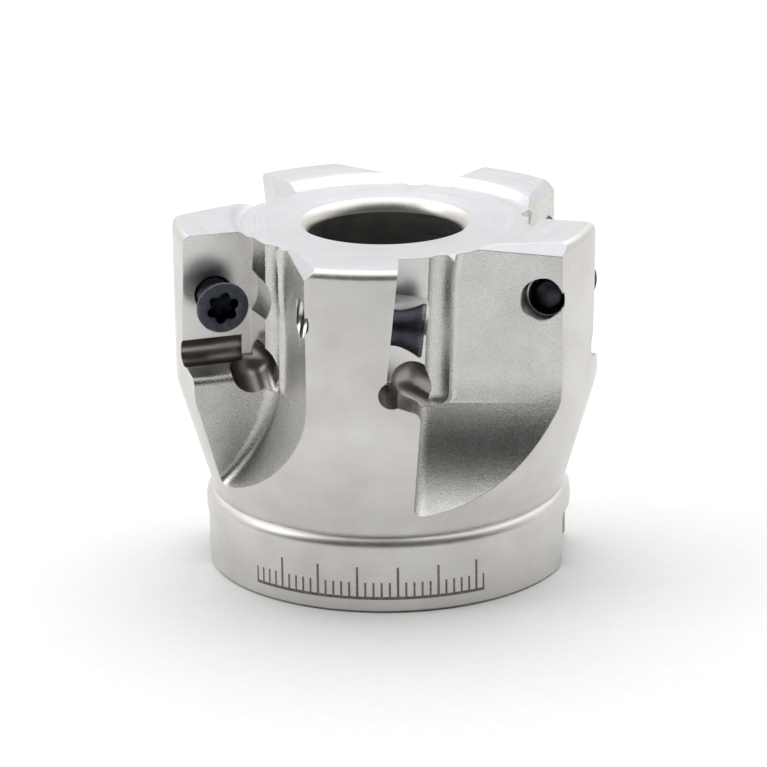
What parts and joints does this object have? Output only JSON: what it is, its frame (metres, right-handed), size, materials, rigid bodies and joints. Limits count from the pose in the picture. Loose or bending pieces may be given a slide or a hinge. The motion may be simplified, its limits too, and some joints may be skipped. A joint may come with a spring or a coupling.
{
  "type": "face mill",
  "caption": "Shell-mounted indexable shoulder face mill body with a stepped bore, rear drive slot, insert pockets with chip gullets, and a countersunk screw in each pocket.",
  "frame": {"origin": "centre of the rear face, on the spindle axis; the mill stands on this face with its cutting end up", "axes": "+Z along the spindle axis from the rear face to the cutting end; the first tooth stands at -Y with its insert seat facing +X; the cutting direction is counter-clockwise seen from the cutting end"},
  "size_m": [0.0479, 0.0475, 0.0402],
  "materials": {
    "cutter_steel": "satin nickel plate over hardened tool steel, fine turned and blasted grain",
    "screw_steel": "blue-black oxide on hardened steel, slightly glossy"
  },
  "bodies": {
    "cutter": {"cutter_body": "cutter_steel"},
    "screw_1": {"insert_screw_1": "screw_steel"},
    "screw_2": {"insert_screw_2": "screw_steel"},
    "screw_3": {"insert_screw_3": "screw_steel"},
    "screw_4": {"insert_screw_4": "screw_steel"},
    "screw_5": {"insert_screw_5": "screw_steel"}
  },
  "joints": [
    {"name": "screw_1_travel", "type": "slide", "parent": "cutter", "child": "screw_1", "axis": [0.9937, -0.0295, -0.108], "range_m": [-0.0014, 0.006]},
    {"name": "screw_2_travel", "type": "slide", "parent": "cutter", "child": "screw_2", "axis": [0.2807, 0.9537, -0.108], "range_m": [-0.0021, 0.006]},
    {"name": "screw_3_travel", "type": "slide", "parent": "cutter", "child": "screw_3", "axis": [-0.8104, 0.5759, -0.108], "range_m": [-0.0017, 0.006]},
    {"name": "screw_4_travel", "type": "slide", "parent": "cutter", "child": "screw_4", "axis": [-0.8422, -0.5283, -0.108], "range_m": [-0.0019, 0.006]},
    {"name": "screw_5_travel", "type": "slide", "parent": "cutter", "child": "screw_5", "axis": [0.279, -0.9542, -0.108], "range_m": [-0.0021, 0.006]}
  ]
}
